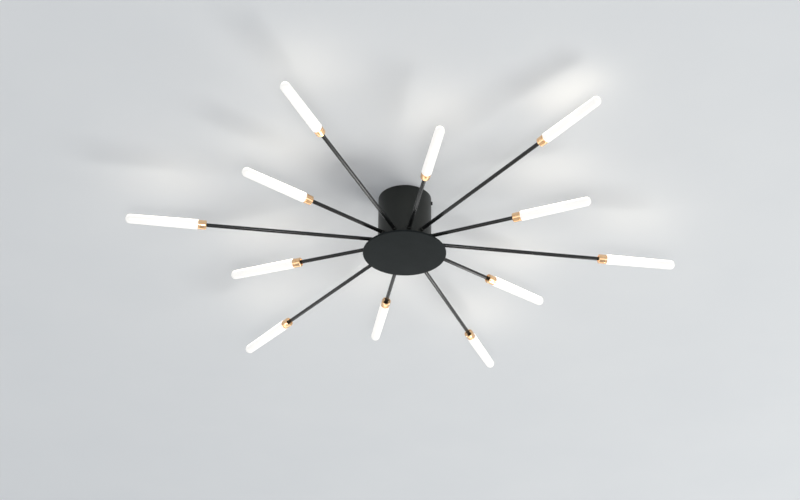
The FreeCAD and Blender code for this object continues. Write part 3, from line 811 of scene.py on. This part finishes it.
class ChipRowTree(GeometryTree):
    """Rows of LED chips on both faces of a light stick, along +X from the start."""

    def __init__(self) -> None:
        """Builds the tree."""
        super().__init__("led_chip_rows", Start="Float", Pitch="Float", Count="Int",
                         Chip_Size="Vector", Board_Half="Float", Taper="Float")
        given, half = self.given, 0.5
        block = self.out("GeometryNodeMeshCube", {"Size": given["Chip Size"]})
        facing = self.parts(self.out("GeometryNodeInputNormal"))
        is_top = self.out("FunctionNodeCompare", {0: facing["Z"], 1: half}, data_type="FLOAT",
                          operation="GREATER_THAN")
        tapered = {"Geometry": block, "Selection": is_top, "Scale": given["Taper"]}
        chip = self.out("GeometryNodeScaleElements", tapered)
        height = self.parts(given["Chip Size"])["Z"]
        lift = self.maths("MULTIPLY_ADD", height, half, given["Board Half"])
        places = {"Count": given["Count"], "Start Location": self.vector(X=given["Start"], Z=lift),
                  "Offset": self.vector(X=given["Pitch"])}
        line = self.out("GeometryNodeMeshLine", places)
        row = self.out("GeometryNodeInstanceOnPoints", {"Points": line, "Instance": chip})
        below = self.out("GeometryNodeTransform", {0: row, "Rotation": (math.pi, 0.0, 0.0)})
        both = self.node("GeometryNodeJoinGeometry", {0: row})
        self.put(both.inputs[0], below)
        self.end(both.outputs[0])


@dataclass(frozen=True)
class ArmLine:
    """Where one arm runs."""

    number: int
    axis: Vector
    start: Vector

    @property
    def name(self) -> str:
        """The arm's name, as the CAD nodes start."""
        return f"arm_{self.number:02d}"

    def turn(self) -> Matrix:
        """The rotation from the arm's own frame to the light's."""
        side = Vector((0, 0, 1)).cross(self.axis).normalized()
        return Matrix((self.axis, side, self.axis.cross(side))).transposed()

    def at(self, along: float) -> Vector:
        """The point of the arm's axis that lies this far along it."""
        return self.start + self.axis * along

    def span(self, piece: str) -> Point:
        """How far along the axis one of the arm's CAD nodes reaches.

        Args:
            piece: the end of the node's name.

        Returns:
            Where it starts and where it ends.
        """
        mesh = frame["nodes"][f"{self.name}_{piece}"].data
        places = np.zeros(len(mesh.vertices) * 3)
        mesh.vertices.foreach_get("co", places)
        along = (places.reshape(-1, 3) - np.array(self.start)) @ np.array(self.axis)
        return float(along.min()), float(along.max())


@dataclass
class Arms:
    """The twelve arms: rods, gold rings and opal tubes."""

    finishes: Finishes
    lathe: Lathe
    rod_radius: float = 2.75 * MM
    rod_bore: float = 2.05 * MM
    ring_radius: float = 6.8 * MM
    ring_bore: float = 5.9 * MM
    ring_trim: float = 0.6 * MM
    ring_back: float = 2.4 * MM
    ring_hole: float = 2.8 * MM
    recess_radius: float = 4.6 * MM
    recess_depth: float = 1.5 * MM
    back_chamfer: float = 0.8 * MM
    mouth_chamfer: float = 0.3 * MM
    groove_from_mouth: float = 1.6 * MM
    groove_width: float = 0.8 * MM
    groove_depth: float = 0.4 * MM
    edge: float = 0.09 * MM
    tube_mouth_radius: float = 7.1 * MM
    tube_tip_radius: float = 6.5 * MM
    tube_wall: float = 1.2 * MM
    tube_edge: float = 0.4 * MM
    neck_radius: float = 5.8 * MM
    neck_wall: float = 1.1 * MM
    steps: int = 64
    rod_steps: int = 32
    tip_steps: int = 18
    edge_steps: int = 3
    rod_edge_steps: int = 2
    tube_edge_steps: int = 5
    lines: list[ArmLine] = field(default_factory=list)

    def __post_init__(self) -> None:
        """Finds where the arms run, from the frame's joints and the middles of the rods."""
        axes = {joint["child"]: Vector(joint["axis"]).normalized() for joint in frame["joints"]}
        for number in range(1, ARM_COUNT + 1):
            axis = axes[f"shade_{number:02d}"]
            low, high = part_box(f"arm_{number:02d}_rod")
            middle = (Vector(low) + Vector(high)) / 2
            start = middle - axis * (middle.xy.length / axis.xy.length)
            self.lines.append(ArmLine(number, axis, start))

    def mouth(self, line: ArmLine) -> float:
        """How far along its arm a ring's solid ends."""
        return line.span("ring")[1]

    def shoulder(self, line: ArmLine) -> float:
        """How far along its arm the trimmed ring ends and its tube starts to show."""
        return self.mouth(line) - self.ring_trim

    def rod(self, line: ArmLine) -> None:
        """A rod: a steel tube with its edges broken.

        Args:
            line: where the arm runs.
        """
        start, end = line.span("rod")
        length, bore, radius = end - start, self.rod_bore, self.rod_radius
        corners = ((0.0, bore), (length, bore), (length, radius), (0.0, radius))
        outline = rounded([(*corner, self.edge) for corner in corners], self.rod_edge_steps)
        self.lathe.turned(line.name + "_black_rod", line.name + "_rod", outline, self.rod_steps,
                          Slot.ROD_PAINT, line.at(start), line.turn())

    def ring(self, line: ArmLine) -> None:
        """A gold ring: a cup with a recess round the rod, and a groove near its mouth.

        It is a little shorter at both ends than its solid, as the photograph shows it.

        Args:
            line: where the arm runs.
        """
        start = line.span("ring")[0] + self.ring_trim
        length, outer = self.shoulder(line) - start, self.ring_radius
        groove_end = length - self.groove_from_mouth
        groove_start = groove_end - self.groove_width
        groove = outer - self.groove_depth
        corners = (
            (0.0, self.recess_radius), (self.recess_depth, self.recess_radius),
            (self.recess_depth, self.ring_hole), (self.ring_back, self.ring_hole),
            (self.ring_back, self.ring_bore), (length, self.ring_bore),
            (length, outer - self.mouth_chamfer), (length - self.mouth_chamfer, outer),
            (groove_end, outer), (groove_end, groove),
            (groove_start, groove), (groove_start, outer),
            (self.back_chamfer, outer), (0.0, outer - self.back_chamfer))
        outline = rounded([(*corner, self.edge) for corner in corners], self.edge_steps)
        self.lathe.turned(line.name + "_gold_ring", line.name + "_ring", outline, self.steps,
                          Slot.GOLD, line.at(start), line.turn())

    def tube(self, line: ArmLine) -> None:
        """An opal tube: neck, shoulder, tapered wall and round tip, inside and out.

        Args:
            line: where the arm runs.
        """
        shoulder = self.shoulder(line)
        neck_end, tip = (place - shoulder for place in line.span("shade"))
        wall, edge, outer, neck = self.tube_wall, self.edge, self.tube_tip_radius, self.neck_radius
        centre, inner, bore = tip - outer, outer - wall, neck - self.neck_wall
        mouth = self.tube_mouth_radius
        inside = [(neck_end, bore, 0.0), (wall, bore, edge), (wall, mouth - wall, edge),
                  (centre, inner, 0.0)]
        outside = [(centre, outer, 0.0), (0.0, mouth, self.tube_edge), (0.0, neck, edge),
                   (neck_end, neck, edge), (neck_end, bore, 0.0)]
        outline = (rounded(inside, self.edge_steps)[:-1]
                   + arc(centre, inner, self.tip_steps) + arc(centre, outer, self.tip_steps)[::-1]
                   + rounded(outside, self.tube_edge_steps)[1:-1])
        self.lathe.turned(line.name + "_opal_tube", line.name + "_shade", outline, self.steps,
                          Slot.OPAL, line.at(shoulder), line.turn(), f"shade_{line.number:02d}")

    def build(self) -> None:
        """Makes every arm."""
        for line in self.lines:
            self.rod(line)
            self.ring(line)
            self.tube(line)
        self.finishes.dress(Slot.BLACK_PAINT, "arm_collars", material=self.finishes.canopy_coat)
        self.finishes.dress(Slot.ZINC, "arm_nuts")


@dataclass
class LightSticks:
    """Narrow boards with LED chips on both faces, one in each tube, and their plugs."""

    finishes: Finishes
    arms: Arms
    every_arm: EveryArmTree = field(default_factory=EveryArmTree)
    chip_rows: ChipRowTree = field(default_factory=ChipRowTree)
    board_width: float = 6.5 * MM
    board_thickness: float = 1.0 * MM
    board_grip: float = 1.4 * MM
    board_corner: float = 0.8 * MM
    corner_steps: int = 4
    corner_profile: float = 0.5
    plug_thickness: float = 2.4 * MM
    chip_size: Corner = (2.8 * MM, 2.0 * MM, 0.55 * MM)
    chip_pitch: float = 4.6 * MM
    chip_margin: float = 5.2 * MM
    chip_taper: float = 0.86

    def board(self, back: float, front: float) -> Item:
        """One board in the arm's own frame, with rounded corners.

        Args:
            back: where it starts, from the ring's mouth.
            front: where it ends.

        Returns:
            The board.
        """
        work = bmesh.new()
        bmesh.ops.create_cube(work, size=1.0)
        scale = Vector((front - back, self.board_width, self.board_thickness))
        bmesh.ops.scale(work, vec=scale, verts=work.verts[:])
        bmesh.ops.translate(work, vec=Vector(((front + back) / 2, 0, 0)), verts=work.verts[:])
        upright = [edge for edge in work.edges if edge.verts[0].co.xy == edge.verts[1].co.xy]
        bmesh.ops.bevel(work, geom=upright, offset=self.board_corner, segments=self.corner_steps,
                        affect="EDGES", profile=self.corner_profile)
        mesh = bpy.data.meshes.new("board_pattern")
        work.to_mesh(mesh)
        work.free()
        return added("board_pattern", mesh)

    def chips(self, length: float) -> Item:
        """The chips of one stick in the arm's own frame, from the ring's mouth.

        Args:
            length: how far from the ring's mouth the stick ends.

        Returns:
            The chips.
        """
        count = int((length - 2 * self.chip_margin) / self.chip_pitch) + 1
        item = added("chip_start", bpy.data.meshes.new("chip_start"))
        return self.chip_rows.grown(
            item, "chip_pattern", Start=self.chip_margin, Pitch=self.chip_pitch, Count=count,
            Chip_Size=self.chip_size, Board_Half=self.board_thickness / 2, Taper=self.chip_taper,
            Material=self.finishes.phosphor)

    def on_arms(self, name: str, pattern: Item, material: Material, *nodes: str) -> None:
        """Copies of a pattern piece on the arms, as one piece of the lamp.

        Args:
            name: the piece's name.
            pattern: the piece in an arm's own frame, from the ring's mouth. It is removed.
            material: the finish.
            nodes: the CAD nodes that it stands for.
        """
        lines = self.arms.lines
        mesh = bpy.data.meshes.new(name + "_points")
        mesh.from_pydata([tuple(line.at(self.arms.mouth(line))) for line in lines], [], [])
        turns = mesh.attributes.new(TURN, "FLOAT_VECTOR", "POINT")
        for index, line in enumerate(lines):
            turns.data[index].vector = line.turn().to_euler()
        item = added(name + "_points", mesh)
        item = self.every_arm.grown(item, name, Pattern=pattern, Material=material)
        bpy.data.objects.remove(pattern)
        finished(item, LAMP, Slot.BOARD, *nodes)

    def build(self) -> None:
        """Makes the sticks of all arms and dresses their plugs."""
        first = self.arms.lines[0]
        mouth = self.arms.mouth(first)
        front = first.span("shade")[1] - mouth - self.arms.tube_tip_radius
        ring_start = first.span("ring")[0] - mouth
        back = ring_start + self.arms.ring_back + self.plug_thickness - self.board_grip
        board = self.board(back, front)
        self.on_arms("light_stick_boards", board, self.finishes.made[Slot.BOARD], "light_sticks")
        self.on_arms("led_chips", self.chips(front), self.finishes.phosphor)
        self.finishes.dress(Slot.PLUG, "stick_plugs")


@dataclass
class Canopy:
    """The canopy, the disc below it and their fasteners."""

    finishes: Finishes
    lathe: Lathe
    disc_radius: float = 60.0 * MM
    disc_edge: float = 0.8 * MM
    steps: int = 192
    edge_steps: int = 6

    def disc(self) -> None:
        """The flat disc, turned, with a rounded edge."""
        low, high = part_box("bottom_disc")
        corners = [(low.z, 0.0, 0.0), (low.z, self.disc_radius, self.disc_edge),
                   (high.z, self.disc_radius, self.disc_edge), (high.z, 0.0, 0.0)]
        outline = rounded(corners, self.edge_steps)
        upright = Matrix.Rotation(-math.pi / 2, 3, "Y")
        self.lathe.turned("black_bottom_disc", "bottom_disc", outline, self.steps,
                          Slot.BLACK_PAINT, Vector(), upright, closed=False)

    def build(self) -> None:
        """Makes the disc and dresses the rest."""
        self.disc()
        self.finishes.dress(Slot.BLACK_PAINT, "canopy", material=self.finishes.canopy_coat)
        self.finishes.dress(Slot.BLACK_STEEL, "canopy_screws")
        self.finishes.dress(Slot.ZINC, "canopy_weld_nuts", "disc_studs", "disc_nuts")


@dataclass
class CeilingBracket:
    """The bracket on the ceiling and its earth terminal."""

    finishes: Finishes

    def build(self) -> None:
        """Dresses the bracket, the earth screw and its washer."""
        self.finishes.dress(Slot.ZINC, "ceiling_bracket")
        self.finishes.dress(Slot.BRASS, "earth_screw", "earth_washer")


@dataclass
class PowerSupply:
    """The driver, its foam pad, the terminal block, the leads and the splice."""

    finishes: Finishes
    wall_radius: float = 37.5 * MM
    pad_clearance: float = 0.04 * MM
    pad_fill: float = 0.95
    pad_squareness: float = 9.0
    pad_drawn_in: float = 0.94
    pad_dents: float = 0.015
    pad_dent_count: float = 6.0
    pad_steps: int = 72
    pad_side_rings: int = 10
    pad_face_rings: int = 6

    def pad_ring(self, size: float, out: float) -> list[Vector]:
        """One closed ring of the pad's points.

        Args:
            size: the ring's size, as a share of the pad's widest outline.
            out: how far out it lies, from 0 on the driver to 1 on the canopy's wall.

        Returns:
            The points, round the pad.
        """
        low, high = (Vector(corner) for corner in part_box("driver_pad"))
        middle, half = (low + high) / 2, (high - low) / 2
        points = []
        for step in range(self.pad_steps):
            angle = 2 * math.pi * step / self.pad_steps
            across, upward = math.cos(angle), math.sin(angle)
            fullness = (abs(across / half.x) ** self.pad_squareness
                        + abs(upward / half.z) ** self.pad_squareness)
            dent = noise.noise(Vector((across, out, upward)) * self.pad_dent_count)
            free = 1 - self.pad_dents * (1 + dent) * math.sin(math.pi * out)
            reach = size * free * fullness ** (-1 / self.pad_squareness)
            x = middle.x + reach * across
            inner = low.y + self.pad_clearance
            outer = math.sqrt(self.wall_radius ** 2 - x ** 2) - self.pad_clearance
            points.append(Vector((x, inner + (outer - inner) * out, middle.z + reach * upward)))
        return points

    def pad(self) -> None:
        """The foam pad, squeezed between driver and canopy wall, so its free sides swell."""
        faces = self.pad_face_rings
        shares = [index / faces * self.pad_drawn_in for index in range(1, faces)]
        rings = [(share, 0.0) for share in shares]
        for index in range(self.pad_side_rings + 1):
            out = index / self.pad_side_rings
            swell = math.sqrt(max(math.sin(math.pi * out), 0.0))
            rings.append((self.pad_drawn_in + (1 - self.pad_drawn_in) * swell, out))
        rings += [(share, 1.0) for share in reversed(shares)]
        work = bmesh.new()
        loops = [[work.verts.new(point) for point in self.pad_ring(*ring)] for ring in rings]
        after = [(index + 1) % self.pad_steps for index in range(self.pad_steps)]
        for first, second in zip(loops, loops[1:]):
            for here, ahead in enumerate(after):
                work.faces.new((first[here], first[ahead], second[ahead], second[here]))
        for loop, out in ((loops[0], 0.0), (loops[-1], 1.0)):
            pole = work.verts.new(self.pad_ring(0.0, out)[0])
            for here, ahead in enumerate(after):
                work.faces.new((loop[here], loop[ahead], pole))
        mesh = bpy.data.meshes.new("foam_driver_pad")
        work.to_mesh(mesh)
        work.free()
        face_out(mesh)
        mesh.materials.append(self.finishes.made[Slot.FOAM])
        item = added("foam_driver_pad", mesh)
        finished(item, LAMP, Slot.FOAM, "driver_pad")

    def build(self) -> None:
        """Makes the pad and dresses the other pieces inside the canopy."""
        self.pad()
        self.finishes.dress(Slot.DRIVER, "led_driver")
        self.finishes.dress(Slot.BLOCK, "terminal_block")
        self.finishes.dress(Slot.LEAD, "input_lead", "output_lead")
        self.finishes.dress(Slot.ARM_LEAD, "arm_leads")
        self.finishes.dress(Slot.SPLICE, "lead_splice")


@dataclass(frozen=True)
class SoftLight:
    """One soft studio light."""

    name: str
    place: Vector
    size: float
    power: float
    colour: Colour = (1.0, 1.0, 1.0)
    target: Vector = Vector((0, 0, -0.05))

    def build(self) -> None:
        """Makes the light."""
        data = bpy.data.lights.new(self.name, "AREA")
        data.shape = "DISK"
        data.size = self.size
        data.energy = self.power
        data.color = self.colour
        item = added(self.name, data)
        item.location = self.place
        item.rotation_euler = (self.target - self.place).to_track_quat("-Z", "Y").to_euler()


@dataclass
class Studio:
    """The plain pale ceiling, the soft lights and the camera. None of it is part of the light."""

    ceiling_half: float = 6.0
    backdrop_colour: Colour = (0.74, 0.76, 0.78)
    room_colour: Colour = (0.312, 0.332, 0.358)
    mirrored: tuple[Point, ...] = ((-1.0, 0.45), (-0.74, 0.60), (-0.62, 1.8), (-0.46, 1.8),
                                   (-0.32, 0.8), (0.2, 0.7))
    soft_lights: tuple[SoftLight, ...] = (
        SoftLight("window_light", Vector((2.8, 3.2, -3.9)), 2.8, 150.0, (1.0, 0.995, 0.96)),
        SoftLight("front_light", Vector((0.6, -4.2, -3.3)), 1.5, 63.0, (1.0, 0.995, 0.99)),
        SoftLight("right_light", Vector((2.8, 0.2, -1.4)), 1.0, 10.0, (1.0, 1.0, 0.98)),
        SoftLight("left_light", Vector((-2.6, 0.4, -1.2)), 0.6, 2.5, (0.97, 0.98, 1.0)),
        SoftLight("warm_bounce", Vector((0.05, 0.05, -0.75)), 0.7, 0.30, (1.0, 0.78, 0.48)))
    lens: float = 80.885
    sensor: float = 36.0
    eye: Vector = Vector((0.24024, -2.17502, -1.47208))
    pitch: float = math.radians(32.330)
    yaw: float = math.radians(-6.473)
    roll: float = math.radians(0.522)

    def ceiling(self) -> None:
        """The ceiling, seen from below."""
        half = self.ceiling_half
        mesh = bpy.data.meshes.new("ceiling")
        corners = [(-half, -half, 0), (-half, half, 0), (half, half, 0), (half, -half, 0)]
        mesh.from_pydata(corners, [], [(0, 1, 2, 3)])
        mesh.materials.append(CeilingPaint().material())
        added("ceiling", mesh)

    def backdrop(self) -> None:
        """An even pale surround. What gloss mirrors of it is brightest where walls stand."""
        world = bpy.data.worlds.new("studio")
        world.use_nodes = True
        graph = Graph(world.node_tree)
        ray = graph.node("ShaderNodeLightPath").outputs
        height = graph.parts(graph.node("ShaderNodeTexCoord").outputs["Generated"])["Z"]
        whole = {"Value": height, "From Min": -1.0, "From Max": 1.0}
        stops = (((place + 1) / 2, (value,) * 3) for place, value in self.mirrored)
        mirrored = graph.ramp(graph.out("ShaderNodeMapRange", whole), *stops)
        room, seen = (*self.room_colour, 1.0), (*self.backdrop_colour, 1.0)
        colour = graph.either(ray["Is Glossy Ray"], room, mirrored)
        colour = graph.either(ray["Is Camera Ray"], colour, seen)
        shade = graph.out("ShaderNodeBackground", {"Color": colour})
        graph.node("ShaderNodeOutputWorld", {"Surface": shade})
        bpy.context.scene.world = world

    def camera(self) -> None:
        """The camera at the photograph's place and angle."""
        data = bpy.data.cameras.new("camera")
        data.lens = self.lens
        data.sensor_width = self.sensor
        item = added("camera", data)
        level = Matrix.Translation(self.eye) @ Matrix.Rotation(-self.yaw, 4, "Z")
        raised = level @ Matrix.Rotation(math.pi / 2 + self.pitch, 4, "X")
        item.matrix_world = raised @ Matrix.Rotation(self.roll, 4, "Z")
        bpy.context.scene.camera = item

    def build(self) -> None:
        """Sets the stage up."""
        self.ceiling()
        self.backdrop()
        for light in self.soft_lights:
            light.build()
        self.camera()
        bpy.context.scene.view_settings.view_transform = "Standard"


def main() -> None:
    """Builds the whole scene."""
    logging.basicConfig(level=logging.INFO, format="%(name)s: %(message)s")
    Studio().build()
    finishes = Finishes()
    lathe = Lathe(finishes)
    arms = Arms(finishes, lathe)
    arms.build()
    LightSticks(finishes, arms).build()
    Canopy(finishes, lathe).build()
    CeilingBracket(finishes).build()
    PowerSupply(finishes).build()


if __name__ == "__main__":
    main()
